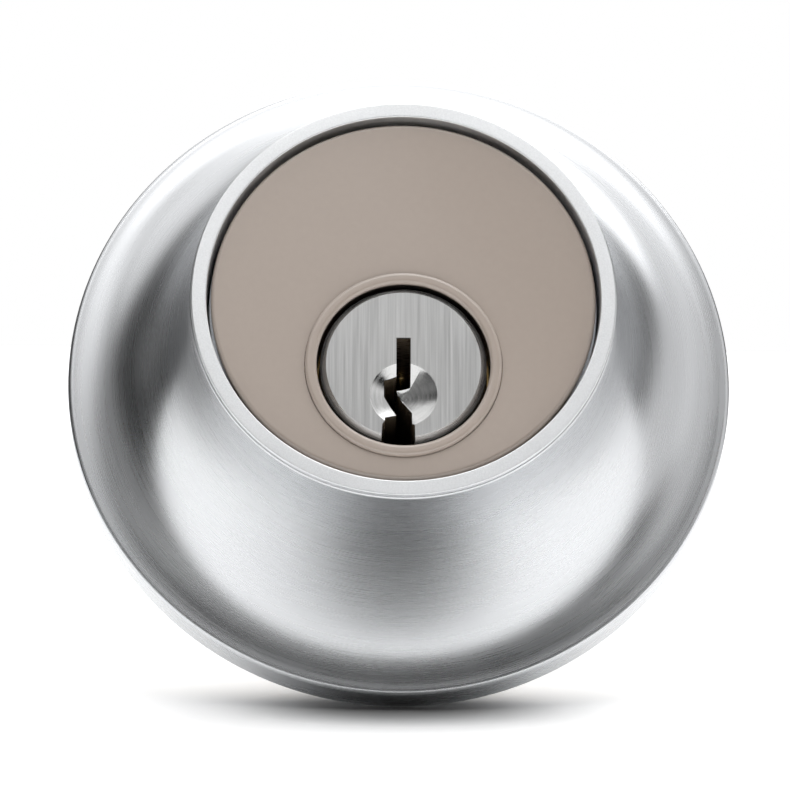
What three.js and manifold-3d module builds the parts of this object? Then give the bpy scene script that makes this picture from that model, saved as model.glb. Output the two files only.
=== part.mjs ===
// Exterior half of a single-cylinder deadbolt door lock, in millimetres.
// The door's outer face is the plane y = 0 and the cross bore's axis is the Y axis.
// The keyed face looks along -Y, the door lies on the +Y side and +Z is up.
// "out" is the distance in front of the door's face, so y = -out.

import * as THREE from 'three';
import { mergeVertices } from 'three/addons/utils/BufferGeometryUtils.js';
import Module from 'manifold-3d';

const wasm = await Module();
wasm.setup();

// ---------------------------------------------------------------- driving dimensions

// trim housing: a turned trumpet with a cylindrical rim
const rimDiameter = 63.5;
const rimHeight = 3.9;
const rimEdgeRound = 0.5;
const rimWall = 1.6;
const housingWall = 1.8;
const flareExponent = 2.1;
const mouthLipDiameter = 39.2;
const mouthLipRound = 0.2;

// bezel ring and face disc in the housing's mouth
const projection = 24.3;
const bezelOuterDiameter = 38.88;
const bezelInnerDiameter = 36.08;
const bezelLipHeight = 0.55;
const bezelSkirtWall = 0.66;
const bezelEdgeRound = 0.15;
const faceRecess = 0.85;
const faceDiscDiameter = 35.34;
const faceDiscThickness = 2.05;
const faceDiscEdge = 0.45;
const backingThickness = 1.1;
const backingDiameter = 35.8;

// collar around the keyed plug
const collarWall = 1.07;
const collarRise = 0.5;
const collarEdgeRound = 0.35;

// cylinder body: the 1 1/8 inch rim pattern, its plug below the centre
const bodyDiameter = 28.58;
const bodyLength = 25.5;
const flangeDiameter = 33;
const flangeThickness = 2.3;
const plugDrop = 6.5;
const boltHoleRadius = 2.05;
const boltHoleDepth = 14;
const boltSpacing = 21.6;
const boltHoleRise = 2;
const drillPinRadius = 1;
const drillPinLength = 6;
const drillPinSpacing = 7.6;
const drillPinRise = 2.4;

// plug
const plugDiameter = 12.7;
const plugHeadDiameter = 15.22;
const plugHeadSunk = 1;
const plugHeadChamfer = 0.55;
const plugFaceBelowCollar = 0.35;
const plugHeadGap = 0.31;
const spigotDiameter = 10.4;
const spigotLength = 3.2;
const dimpleRadius = 3.08;
const dimplePointAngle = 118;
const dimpleDrop = 2.96;

// pin stacks, counted from the plug's shoulder
const pinDiameter = 2.92;
const firstPinFromShoulder = 5.87;
const pinPitch = 3.97;
const keyPinLengths = [5.2, 6.4, 4.6, 5.8, 6.9];
const driverPinLength = 4.4;
const longestPinDrop = 1.18;
const chamberDrillAngle = 90;
const springWireDiameter = 0.36;
const springCoilDiameter = 2.2;
const springTurns = 6;
const coverWidth = 4.3;
const coverThickness = 1.1;
const coverTopBelowBarrel = 0.14;
const coverOverhang = 3;

// tailpiece and its cap
const capWall = 1.95;
const capEndThickness = 1.2;
const capHoleRadius = 3.9;
const tailBaseRadius = 4.9;
const tailBaseThickness = 0.9;
const tongueWidth = 7.6;
const tongueThickness = 1.6;
const tongueDepth = 2.2;
const driveSlotRadius = 4;
const lostMotion = 45;
const bladeWidth = 6.4;
const bladeThickness = 1.5;
const bladeReach = 45;
const scoreCount = 4;
const scorePitch = 4.76;
const scoreDepth = 0.25;

// pieces between the housing and the door
const webThickness = 2.5;
const sleeveWall = 1.8;
const plateThickness = 1.5;
const gasketThickness = 0.5;
const gasketWidth = 2.8;
const doorBoreDiameter = 54;
const bossWall = 1.6;
const bossLength = 5;
const screwCount = 3;
const screwCircleRadius = 20.5;
const screwRadius = 1.15;
const screwHeadRadius = 2.3;
const screwLength = 5.5;
const screwSlotWidth = 0.6;
const screwSlotDepth = 0.6;
const postWall = 1.45;
const postSkin = 0.9;
const postBottom = 0.5;

// clearances
const seatGap = 0.03;
const slideGap = 0.05;
const boreFit = 0.2;
const looseGap = 0.3;

// facets
const largeFacets = 60;
const mediumFacets = 36;
const smallFacets = 12;
const flareSteps = 14;
const flareInnerSteps = 8;

// ---------------------------------------------------------------- levels worked out from them

const bezelBack = projection - bezelLipHeight;
const mouthLipOut = bezelBack - seatGap;
const faceOut = projection - faceRecess;
const discBack = faceOut - faceDiscThickness;
const flangeFront = discBack - backingThickness - seatGap;
const ledgeOut = flangeFront - flangeThickness;
const webBack = ledgeOut - webThickness;
const bodyRear = flangeFront - bodyLength;
const shoulderOut = flangeFront - plugHeadSunk;
const collarOut = faceOut + collarRise;
const plugFaceOut = collarOut - plugFaceBelowCollar;
const plateFront = gasketThickness + plateThickness;
const capFront = bodyRear - slideGap;
const spigotRear = capFront - spigotLength;
const capInner = spigotRear - tailBaseThickness - 2 * slideGap;

const barrelRadius = bodyDiameter / 2;
const plugRadius = plugDiameter / 2;
const plugBoreRadius = plugRadius + slideGap;
const plugHeadRadius = plugHeadDiameter / 2;
const collarInner = plugHeadRadius + plugHeadGap;
const collarOuter = collarInner + collarWall;
const pinRadius = pinDiameter / 2;
const chamberRadius = pinRadius + slideGap;
const shearLine = Math.sqrt(plugRadius ** 2 - pinRadius ** 2);
const chamberBottom = shearLine - Math.max(...keyPinLengths) - longestPinDrop;
const driverFoot = plugBoreRadius + slideGap;
const coverTop = barrelRadius - coverTopBelowBarrel + plugDrop;
const coverFoot = coverTop - coverThickness;
const capRadius = spigotDiameter / 2 + capWall;
const bodySeat = barrelRadius + boreFit;

// ---------------------------------------------------------------- geometry helpers

// Joins a three.js geometry's shared corners, drops its degenerate triangles and turns it outwards.
function solid(geometry) {
  const bare = new THREE.BufferGeometry();
  bare.setAttribute('position', geometry.getAttribute('position').clone());
  if (geometry.index) bare.setIndex(geometry.index.clone());
  const merged = mergeVertices(bare, 1e-4);
  const at = merged.getAttribute('position');
  const corner = (i) => new THREE.Vector3().fromBufferAttribute(at, i);
  const triangles = [];
  let volume = 0;
  for (let i = 0; i < merged.index.count; i += 3) {
    const [a, b, c] = merged.index.array.slice(i, i + 3);
    if (a !== b && b !== c && c !== a) {
      triangles.push([a, b, c]);
      volume += corner(a).dot(corner(b).cross(corner(c)));
    }
  }
  const wound = volume < 0 ? triangles.map(([a, b, c]) => [a, c, b]) : triangles;
  return new wasm.Manifold(new wasm.Mesh({
    numProp: 3,
    vertProperties: Float32Array.from(at.array),
    triVerts: Uint32Array.from(wound.flat()),
  }));
}

// A solid turned about the Y axis from [radius, out] points that close on themselves or on the axis.
function turned(profile, facets) {
  const points = profile.map(([radius, out]) => new THREE.Vector2(radius, -out));
  const endsOnAxis = points[0].x === 0 && points.at(-1).x === 0;
  if (!endsOnAxis) points.push(points[0].clone());
  return solid(new THREE.LatheGeometry(points, facets));
}

// A plain turned ring.
function ring(inner, outer, outFrom, outTo, facets) {
  return turned([[inner, outFrom], [outer, outFrom], [outer, outTo], [inner, outTo]], facets);
}

// A round bar or hole lying along the door's axis.
function barOut(radius, outFrom, outTo, facets, x = 0, z = 0) {
  const geometry = new THREE.CylinderGeometry(radius, radius, outTo - outFrom, facets);
  geometry.translate(x, -(outFrom + outTo) / 2, z);
  return solid(geometry);
}

// A round bar or hole standing along Z.
function barUp(radius, zFrom, zTo, facets, out) {
  const geometry = new THREE.CylinderGeometry(radius, radius, zTo - zFrom, facets);
  geometry.rotateX(Math.PI / 2);
  geometry.translate(0, -out, (zFrom + zTo) / 2);
  return solid(geometry);
}

function block(xFrom, xTo, outFrom, outTo, zFrom, zTo) {
  const geometry = new THREE.BoxGeometry(xTo - xFrom, outTo - outFrom, zTo - zFrom);
  geometry.translate((xFrom + xTo) / 2, -(outFrom + outTo) / 2, (zFrom + zTo) / 2);
  return solid(geometry);
}

// An outline of [x, z] points carried along the door's axis.
function prism(outline, outFrom, outTo) {
  const shape = new THREE.Shape(outline.map(([x, z]) => new THREE.Vector2(x, z)));
  const geometry = new THREE.ExtrudeGeometry(shape, { depth: outTo - outFrom, bevelEnabled: false });
  geometry.rotateX(Math.PI / 2);
  geometry.translate(0, -outFrom, 0);
  return solid(geometry);
}

function toGeometry(manifold) {
  const { vertProperties, triVerts } = manifold.getMesh();
  const geometry = new THREE.BufferGeometry();
  geometry.setAttribute('position', new THREE.BufferAttribute(Float32Array.from(vertProperties), 3));
  geometry.setIndex(new THREE.BufferAttribute(Uint32Array.from(triVerts), 1));
  geometry.computeVertexNormals();
  return geometry;
}

function piece(name, manifold, material, group) {
  const mesh = new THREE.Mesh(toGeometry(manifold), material);
  mesh.name = name;
  group.add(mesh);
}

// Points of a quarter turn of rounding between two directions, centred on [radius, out].
function rounding(radius, out, size, fromDegrees, toDegrees, steps) {
  return Array.from({ length: steps + 1 }, (_, i) => {
    const angle = THREE.MathUtils.degToRad(fromDegrees + ((toDegrees - fromDegrees) * i) / steps);
    return [radius + size * Math.cos(angle), out + size * Math.sin(angle)];
  });
}

// The trumpet's line from the mouth down to the rim: a superellipse quarter about the corner
// where the rim's radius meets the mouth's level, grown by a wall towards that line's inside.
function flare(wall, steps) {
  const cornerRadius = rimDiameter / 2 - rimEdgeRound;
  const across = cornerRadius - mouthLipDiameter / 2 + wall;
  const along = mouthLipOut - rimHeight + wall;
  return Array.from({ length: steps + 1 }, (_, i) => {
    const angle = (Math.PI / 2) * (i / steps);
    const radius = cornerRadius - across * Math.cos(angle) ** (2 / flareExponent);
    return [radius, mouthLipOut - along * Math.sin(angle) ** (2 / flareExponent)];
  });
}

// ---------------------------------------------------------------- finishes

function finish(colour, roughness, metalness) {
  return new THREE.MeshStandardMaterial({ color: colour, roughness, metalness });
}

const satinSteel = finish(0xb9bbbd, 0.38, 1);
const blastedSteel = finish(0xcfd1d2, 0.5, 1);
const taupeLacquer = finish(0xab9f95, 0.25, 0);
const plugNickel = finish(0xbdbdbc, 0.35, 1);
const brass = finish(0xb58f4a, 0.35, 1);
const zincSteel = finish(0xa9adb0, 0.45, 1);
const hardenedSteel = finish(0x6d7073, 0.4, 1);
const springSteel = finish(0x9a9da0, 0.35, 1);
const blackFoam = finish(0x202122, 0.9, 0);

// ---------------------------------------------------------------- housing and face

const pinOuts = keyPinLengths.map((_, i) => shoulderOut - firstPinFromShoulder - pinPitch * i);
const screwPlaces = Array.from({ length: screwCount }, (_, i) => {
  const angle = Math.PI / 2 + (2 * Math.PI * i) / screwCount;
  return [screwCircleRadius * Math.cos(angle), screwCircleRadius * Math.sin(angle)];
});
const mouthRadius = bezelInnerDiameter / 2 + bezelSkirtWall + slideGap;

function trimHousing() {
  const rimRadius = rimDiameter / 2;
  const rimInner = rimRadius - rimWall;
  const lipCentre = mouthLipDiameter / 2 - mouthLipRound;
  const outer = flare(0, flareSteps).slice(1).reverse();
  const inner = flare(housingWall, flareInnerSteps)
    .filter(([radius, out]) => out < webBack && radius < rimInner);
  const shell = turned([
    [rimInner, 0],
    [rimRadius, 0],
    ...rounding(rimRadius - rimEdgeRound, rimHeight - rimEdgeRound, rimEdgeRound, 0, 90, 3),
    ...outer.slice(1),
    ...rounding(lipCentre, mouthLipOut - mouthLipRound, mouthLipRound, 0, 90, 2),
    [mouthRadius, mouthLipOut],
    [mouthRadius, ledgeOut],
    [bodySeat, ledgeOut],
    [bodySeat, webBack],
    [inner[0][0], webBack],
    ...inner,
    [rimInner, inner.at(-1)[1]],
  ], largeFacets);
  const inside = turned([
    [0, 0],
    [rimInner, 0],
    ...flare(postSkin, flareInnerSteps).reverse(),
    [0, mouthLipOut],
  ], largeFacets);
  const postFrom = plateFront + seatGap;
  const postTo = webBack + postSkin;
  const boreTo = gasketThickness + screwLength + postBottom;
  const posts = screwPlaces.map(([x, z]) =>
    barOut(screwRadius + postWall, postFrom, postTo, smallFacets, x, z));
  const bores = screwPlaces.map(([x, z]) =>
    barOut(screwRadius + slideGap, 0, boreTo, smallFacets, x, z));
  const whole = posts.reduce((body, post) => body.add(post.intersect(inside)), shell);
  return bores.reduce((body, bore) => body.subtract(bore), whole);
}

function bezelRing() {
  const outer = bezelOuterDiameter / 2;
  const inner = bezelInnerDiameter / 2;
  return turned([
    [inner, ledgeOut + seatGap],
    [inner + bezelSkirtWall, ledgeOut + seatGap],
    [inner + bezelSkirtWall, bezelBack],
    [outer, bezelBack],
    ...rounding(outer - bezelEdgeRound, projection - bezelEdgeRound, bezelEdgeRound, 0, 90, 2),
    [inner, projection],
  ], largeFacets);
}

// The disc and its backing are round about the housing's axis, with a hole about the plug's.
function faceDisc() {
  const radius = faceDiscDiameter / 2;
  const disc = turned([
    [0, discBack],
    [radius, discBack],
    ...rounding(radius - faceDiscEdge, faceOut - faceDiscEdge, faceDiscEdge, 0, 90, 3),
    [0, faceOut],
  ], largeFacets);
  return disc.subtract(plugAxisHole(collarOuter + slideGap));
}

function plugAxisHole(radius) {
  return barOut(radius, bodyRear, projection, mediumFacets, 0, -plugDrop);
}

function faceBacking() {
  const plate = barOut(backingDiameter / 2, flangeFront + seatGap, discBack - seatGap, mediumFacets);
  return plate.subtract(plugAxisHole(collarOuter + looseGap));
}

// The collar stands about the plug's own axis, on the cylinder's flange.
function cylinderCollar() {
  const edge = collarEdgeRound;
  return turned([
    [collarInner, flangeFront + seatGap],
    [collarOuter, flangeFront + seatGap],
    ...rounding(collarOuter - edge, collarOut - edge, edge, 0, 90, 3),
    ...rounding(collarInner + edge, collarOut - edge, edge, 90, 180, 3),
  ], mediumFacets);
}

// ---------------------------------------------------------------- cylinder

const coverEnds = [pinOuts.at(-1) - coverOverhang, pinOuts[0] + coverOverhang];
const drillPinSides = [['left', -drillPinSpacing / 2], ['right', drillPinSpacing / 2]];

function cylinderBody() {
  const axis = -plugDrop;
  const barrel = turned([
    [0, bodyRear],
    [barrelRadius, bodyRear],
    [barrelRadius, ledgeOut + seatGap],
    [flangeDiameter / 2, ledgeOut + seatGap],
    [flangeDiameter / 2, flangeFront],
    [0, flangeFront],
  ], mediumFacets);
  const plugBore = barOut(plugBoreRadius, bodyRear - 1, flangeFront, mediumFacets, 0, axis);
  const headBore = barOut(collarInner, shoulderOut, flangeFront + 1, mediumFacets, 0, axis);
  const chambers = pinOuts.map((out) => barUp(chamberRadius, axis, barrelRadius + 1, smallFacets, out));
  const slot = block(
    -coverWidth / 2 - slideGap, coverWidth / 2 + slideGap,
    coverEnds[0] - slideGap, coverEnds[1] + slideGap,
    coverFoot - plugDrop - slideGap, barrelRadius + 1,
  );
  const boltHoleEnd = bodyRear + boltHoleDepth;
  const boltHoles = [-boltSpacing / 2, boltSpacing / 2].map((x) =>
    barOut(boltHoleRadius, bodyRear - 1, boltHoleEnd, smallFacets, x, boltHoleRise));
  const drillHoleEnd = flangeFront - drillPinLength - slideGap;
  const drillHoles = drillPinSides.map(([, x]) =>
    barOut(drillPinRadius + slideGap, drillHoleEnd, flangeFront + 1, smallFacets, x, drillPinRise));
  const cuts = [plugBore, headBore, ...chambers, slot, ...boltHoles, ...drillHoles];
  return cuts.reduce((body, cut) => body.subtract(cut), barrel);
}

function chamberCover() {
  const foot = coverFoot - plugDrop;
  return block(-coverWidth / 2, coverWidth / 2, ...coverEnds, foot, foot + coverThickness);
}

// The keyway's section about the plug's axis: a slot from the top that steps left, slants
// back past the middle and widens to the open bottom.
const keywayRight = [[0.65, 2.6], [0.65, -1.9], [-0.6, -2.15], [-0.45, -2.55], [0, -3.15], [0.78, -4.45],
  [0.78, -5.8], [1.03, -5.9], [1.1, -plugHeadRadius - 1]];
const keywayLeft = [[-2.1, -plugHeadRadius - 1], [-1.93, -5.8], [-1.7, -5.5], [-1.7, -5.15], [-0.65, -4.75],
  [-1.55, -3.27], [-1.77, -2.9], [-1.77, -1.45], [-0.65, -1], [-0.65, 2.6]];

// The plug and all that turns with it are drawn about the plug's own axis.
function plug() {
  const spigotRadius = spigotDiameter / 2;
  const blank = turned([
    [0, spigotRear],
    [spigotRadius, spigotRear],
    [spigotRadius, capFront],
    [plugRadius, capFront],
    [plugRadius, shoulderOut + slideGap],
    [plugHeadRadius, shoulderOut + slideGap],
    [plugHeadRadius, plugFaceOut - plugHeadChamfer],
    [plugHeadRadius - plugHeadChamfer, plugFaceOut],
    [0, plugFaceOut],
  ], mediumFacets);
  const keyway = prism([...keywayRight, ...keywayLeft], spigotRear + tongueDepth + 1, plugFaceOut + 1);
  const dimpleDepth = dimpleRadius / Math.tan(THREE.MathUtils.degToRad(dimplePointAngle / 2));
  const dimple = turned([
    [0, plugFaceOut - dimpleDepth],
    [dimpleRadius * 2, plugFaceOut + dimpleDepth],
    [0, plugFaceOut + dimpleDepth],
  ], 2 * smallFacets).translate([0, 0, -dimpleDrop]);
  const chambers = pinOuts.map((out) => chamberBelowShear(out));
  const cuts = [keyway, dimple, ...chambers, driveSlot()];
  return cuts.reduce((body, cut) => body.subtract(cut), blank);
}

// A key pin's hole in the plug, with a drill point at its bottom.
function chamberBelowShear(out) {
  const pointDepth = chamberRadius / Math.tan(THREE.MathUtils.degToRad(chamberDrillAngle / 2));
  return upright([
    [0, chamberBottom],
    [chamberRadius, chamberBottom + pointDepth],
    [chamberRadius, plugRadius + 1],
    [0, plugRadius + 1],
  ], out);
}

// A solid turned about a line along Z from [radius, height] points.
function upright(profile, out) {
  const points = profile.map(([radius, height]) => new THREE.Vector2(radius, height));
  const geometry = new THREE.LatheGeometry(points, smallFacets);
  geometry.rotateX(Math.PI / 2);
  geometry.translate(0, -out, 0);
  return solid(geometry);
}

// A round recess in the plug's rear with a lug at each side, so that the tailpiece's tongue
// turns freely through the lost motion and is then driven.
function driveSlot() {
  const slotEnd = spigotRear + tongueDepth + looseGap;
  const recess = barOut(driveSlotRadius, spigotRear - 1, slotEnd, 2 * smallFacets);
  const limit = THREE.MathUtils.degToRad(lostMotion);
  const apex = (tongueThickness / 2 + slideGap) / Math.sin(limit);
  const reach = driveSlotRadius * 2;
  const lugs = [-1, 1].map((side) => prism([
    [side * apex, 0],
    [side * (apex + reach * Math.cos(limit)), -side * reach * Math.cos(limit)],
    [side * (apex + reach * Math.cos(limit)), side * reach * Math.cos(limit)],
  ], spigotRear, slotEnd + 1));
  return lugs.reduce((space, lug) => space.subtract(lug), recess);
}

function tailpieceCap() {
  const inner = spigotDiameter / 2 + slideGap;
  return turned([
    [inner, capFront - slideGap],
    [capRadius, capFront - slideGap],
    [capRadius, capInner - capEndThickness],
    [capHoleRadius, capInner - capEndThickness],
    [capHoleRadius, capInner],
    [inner, capInner],
  ], mediumFacets);
}

function tailpiece() {
  const baseFront = spigotRear - slideGap;
  const base = barOut(tailBaseRadius, baseFront - tailBaseThickness, baseFront, 2 * smallFacets);
  const halfTongue = tongueThickness / 2;
  const halfBlade = bladeThickness / 2;
  const tongue = block(-halfTongue, halfTongue, baseFront - tailBaseThickness / 2, baseFront + tongueDepth,
    -tongueWidth / 2, tongueWidth / 2);
  const blade = block(-halfBlade, halfBlade, -bladeReach, baseFront - tailBaseThickness / 2,
    -bladeWidth / 2, bladeWidth / 2);
  const scores = Array.from({ length: scoreCount }, (_, i) => -bladeReach + scorePitch * (i + 1));
  const notches = scores.flatMap((out) => [-1, 1].map((side) => prismUp([
    [side * (halfBlade - scoreDepth), out],
    [side * (halfBlade + scoreDepth), out - 2 * scoreDepth],
    [side * (halfBlade + scoreDepth), out + 2 * scoreDepth],
  ], bladeWidth)));
  return notches.reduce((body, notch) => body.subtract(notch), base.add(tongue).add(blade));
}

// An outline of [x, out] points carried up and down by a height centred on the plug's axis.
function prismUp(outline, height) {
  const shape = new THREE.Shape(outline.map(([x, out]) => new THREE.Vector2(x, -out)));
  const geometry = new THREE.ExtrudeGeometry(shape, { depth: height + 1, bevelEnabled: false });
  geometry.translate(0, 0, -(height + 1) / 2);
  return solid(geometry);
}

// ---------------------------------------------------------------- pin stacks

// Key pins stand with their heads at the shear line, as the right key holds them.
function keyPin(length, out) {
  const edge = 0.25;
  return upright([
    [0, shearLine - length],
    [0.3, shearLine - length],
    [pinRadius, shearLine - length + pinRadius - 0.3],
    [pinRadius, shearLine - edge],
    [pinRadius - edge, shearLine],
    [0, shearLine],
  ], out);
}

function driverPin(out) {
  const edge = 0.2;
  const head = driverFoot + driverPinLength;
  return upright([
    [0, driverFoot],
    [pinRadius - edge, driverFoot],
    [pinRadius, driverFoot + edge],
    [pinRadius, head - edge],
    [pinRadius - edge, head],
    [0, head],
  ], out);
}

class Coil extends THREE.Curve {
  constructor(radius, foot, head, turns, out) {
    super();
    Object.assign(this, { radius, foot, head, turns, out });
  }

  getPoint(t, target = new THREE.Vector3()) {
    const angle = 2 * Math.PI * this.turns * t;
    const height = THREE.MathUtils.lerp(this.foot, this.head, t);
    return target.set(this.radius * Math.cos(angle), this.radius * Math.sin(angle) - this.out, height);
  }
}

function pinSpring(out) {
  const wire = springWireDiameter / 2;
  const foot = driverFoot + driverPinLength + slideGap + wire;
  const head = coverFoot - slideGap - wire;
  const path = new Coil((springCoilDiameter - springWireDiameter) / 2, foot, head, springTurns, out);
  const section = new THREE.Shape(Array.from({ length: 4 }, (_, i) =>
    new THREE.Vector2(wire * Math.cos((Math.PI / 2) * i), wire * Math.sin((Math.PI / 2) * i))));
  const steps = springTurns * 8;
  return solid(new THREE.ExtrudeGeometry(section, { steps, extrudePath: path, bevelEnabled: false }));
}

// ---------------------------------------------------------------- door side

function guardSleeve() {
  const outer = bodySeat + sleeveWall;
  return ring(bodySeat, outer, plateFront + seatGap, webBack - seatGap, mediumFacets);
}

// A pressed plate whose boss centres the lock in the door's cross bore.
function centringPlate() {
  const rimInner = rimDiameter / 2 - rimWall - boreFit;
  const bossOuter = doorBoreDiameter / 2 - boreFit;
  const bossInner = bossOuter - bossWall;
  const plate = turned([
    [bodySeat, gasketThickness],
    [bossInner, gasketThickness],
    [bossInner, -bossLength],
    [bossOuter, -bossLength],
    [bossOuter, gasketThickness],
    [rimInner, gasketThickness],
    [rimInner, plateFront],
    [bodySeat, plateFront],
  ], largeFacets);
  const holes = screwPlaces.map(([x, z]) =>
    turned(screwProfile(slideGap), smallFacets).translate([x, 0, z]));
  return holes.reduce((body, hole) => body.subtract(hole), plate);
}

function doorGasket() {
  const outer = rimDiameter / 2 - rimWall - boreFit;
  return ring(outer - gasketWidth, outer, 0, gasketThickness - seatGap, largeFacets);
}

// A countersunk screw whose head is level with the plate's back, grown by a gap for its hole.
function screwProfile(gap) {
  const headTop = gasketThickness - gap;
  return [
    [0, headTop],
    [screwHeadRadius + gap, headTop],
    [screwRadius + gap, gasketThickness + screwHeadRadius - screwRadius],
    [screwRadius + gap, gasketThickness + screwLength + gap],
    [0, gasketThickness + screwLength + gap],
  ];
}

function trimScrew([x, z]) {
  const half = screwSlotWidth / 2;
  const reach = screwHeadRadius * 0.62;
  const from = gasketThickness - 1;
  const to = gasketThickness + screwSlotDepth;
  const across = block(-reach, reach, from, to, -half, half);
  const down = block(-half, half, from, to, -reach, reach);
  return turned(screwProfile(0), smallFacets).subtract(across).subtract(down).translate([x, 0, z]);
}

// ---------------------------------------------------------------- the assembly

const lock = new THREE.Group();
const fixedOnPlugAxis = new THREE.Group();
const turning = new THREE.Group();
fixedOnPlugAxis.position.z = -plugDrop;
turning.position.z = -plugDrop;
lock.add(fixedOnPlugAxis, turning);

piece('trim_housing', trimHousing(), satinSteel, lock);
piece('bezel_ring', bezelRing(), blastedSteel, lock);
piece('face_disc', faceDisc(), taupeLacquer, lock);
piece('face_backing', faceBacking(), zincSteel, lock);
piece('cylinder_collar', cylinderCollar(), taupeLacquer, fixedOnPlugAxis);
piece('cylinder_body', cylinderBody(), brass, lock);
piece('chamber_cover', chamberCover(), brass, lock);
piece('guard_sleeve', guardSleeve(), hardenedSteel, lock);
piece('centring_plate', centringPlate(), zincSteel, lock);
piece('door_gasket', doorGasket(), blackFoam, lock);
screwPlaces.forEach((place, i) => piece(`trim_screw_${i + 1}`, trimScrew(place), zincSteel, lock));
drillPinSides.forEach(([side, x]) => {
  const foot = flangeFront - drillPinLength;
  const pin = barOut(drillPinRadius, foot, flangeFront - slideGap, smallFacets, x, drillPinRise);
  piece(`drill_pin_${side}`, pin, hardenedSteel, lock);
});
piece('plug', plug(), plugNickel, turning);
piece('tailpiece_cap', tailpieceCap(), brass, turning);
piece('tailpiece', tailpiece(), zincSteel, turning);
pinOuts.forEach((out, i) => {
  piece(`key_pin_${i + 1}`, keyPin(keyPinLengths[i], out), brass, turning);
  piece(`driver_pin_${i + 1}`, driverPin(out), plugNickel, fixedOnPlugAxis);
  piece(`pin_spring_${i + 1}`, pinSpring(out), springSteel, fixedOnPlugAxis);
});

export default lock;
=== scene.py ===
"""Exterior half of a deadbolt door lock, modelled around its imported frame.

Sizes are in metres. The door's outer face is the plane y = 0 and the keyed face looks along -Y,
so "out" is the distance in front of the door and y = -out.
"""

import math

import bpy
from mathutils import Matrix, Vector


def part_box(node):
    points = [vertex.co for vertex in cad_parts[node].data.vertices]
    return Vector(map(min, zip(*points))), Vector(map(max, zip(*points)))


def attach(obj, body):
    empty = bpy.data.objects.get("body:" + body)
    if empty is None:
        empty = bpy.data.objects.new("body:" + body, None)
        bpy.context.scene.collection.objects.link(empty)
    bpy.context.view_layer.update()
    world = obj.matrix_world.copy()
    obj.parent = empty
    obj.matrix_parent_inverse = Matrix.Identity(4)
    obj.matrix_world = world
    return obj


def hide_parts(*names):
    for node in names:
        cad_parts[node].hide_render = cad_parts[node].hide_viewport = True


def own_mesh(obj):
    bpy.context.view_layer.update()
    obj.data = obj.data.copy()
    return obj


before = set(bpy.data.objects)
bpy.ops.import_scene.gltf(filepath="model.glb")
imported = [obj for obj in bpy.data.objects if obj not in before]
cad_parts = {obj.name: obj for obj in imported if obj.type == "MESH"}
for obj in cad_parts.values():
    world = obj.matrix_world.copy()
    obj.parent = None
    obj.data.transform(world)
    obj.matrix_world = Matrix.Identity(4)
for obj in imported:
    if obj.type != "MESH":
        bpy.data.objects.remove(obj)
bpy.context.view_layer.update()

bl_info = {
    "name": "Deadbolt Lock Trim",
    "version": (1, 0, 0),
    "blender": (4, 5, 0),
    "location": "3D View > Sidebar > Lock",
    "description": "Models the exterior trim, keyed cylinder and tailpiece of a deadbolt lock",
    "category": "Object",
}

MM = 0.001
PINS = range(1, 6)


def low(node):
    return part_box(node)[0]


def high(node):
    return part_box(node)[1]


def width(node):
    return high(node).x - low(node).x


def middle(node):
    return (low(node) + high(node)) / 2


PLUG_AXIS = Vector((0, 0, middle("tailpiece_cap").z))
LOCK_AXIS = Vector((0, 0, 0))


# ------------------------------------------------------------------ settings


def size(name, description, value):
    return bpy.props.FloatProperty(
        name=name, description=description, default=value, min=0, precision=5, unit="LENGTH"
    )


def count(name, description, value):
    return bpy.props.IntProperty(name=name, description=description, default=value, min=3, max=512)


def share(name, description, value):
    return bpy.props.FloatProperty(
        name=name, description=description, default=value, min=0, max=1, subtype="FACTOR"
    )


def turn(name, description, degrees):
    return bpy.props.FloatProperty(
        name=name, description=description, default=math.radians(degrees), subtype="ANGLE"
    )


def colour(name, description, value):
    return bpy.props.FloatVectorProperty(
        name=name, description=description, default=value, size=3, min=0, max=1, subtype="COLOR"
    )


class LockSizes(bpy.types.PropertyGroup):
    rim_edge: size("Rim edge", "Rounding of the rim's front edge", 0.45 * MM)
    rim_wall: size("Rim wall", "Thickness of the rim at the door", 1.6 * MM)
    shell_wall: size("Shell wall", "Thickness of the flared shell", 1.8 * MM)
    rim_height: size("Rim height", "Distance from the door to the flare's start", 3.9 * MM)
    mouth_radius: size("Mouth radius", "Outer radius of the flare at the bezel", 19.6 * MM)
    flare_power: bpy.props.FloatProperty(
        name="Flare power", description="Fullness of the flare's curve", default=2.1, min=1, max=4
    )
    ledge_bore: size("Ledge bore", "Radius of the housing's bore around the cylinder", 14.49 * MM)
    web: size("Web", "Thickness of the ledge that carries the cylinder", 2.5 * MM)
    bezel_skirt: size("Bezel skirt", "Wall of the bezel's skirt in the mouth", 0.66 * MM)
    bezel_lip: size("Bezel lip", "Height of the bezel above the mouth", 0.55 * MM)
    bezel_inner: size("Bezel opening", "Inner radius of the bezel ring", 18.04 * MM)
    collar_inner: size("Collar opening", "Inner radius of the collar", 7.92 * MM)
    head_chamfer: size("Plug chamfer", "Chamfer around the plug's face", 0.55 * MM)
    head_radius: size("Plug head radius", "Radius of the plug's head", 7.61 * MM)
    plug_radius: size("Plug radius", "Radius of the plug's body", 6.35 * MM)
    spigot_radius: size("Spigot radius", "Radius of the plug's threaded end", 5.2 * MM)
    spigot_length: size("Spigot length", "Length of the plug's threaded end", 3.2 * MM)
    head_depth: size("Plug head depth", "Length of the plug's head", 4.27 * MM)
    dimple_radius: size("Dimple radius", "Radius of the drill point in the plug's face", 3.08 * MM)
    dimple_drop: size("Dimple drop", "Distance of the dimple below the plug's axis", 2.96 * MM)
    pin_gap: size("Pin gap", "Clearance around a pin in its chamber", 0.05 * MM)
    wire: size("Spring wire", "Thickness of the pin springs' wire", 0.36 * MM)
    turned_steps: count("Turned steps", "Facets around the large turned pieces", 192)


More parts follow.
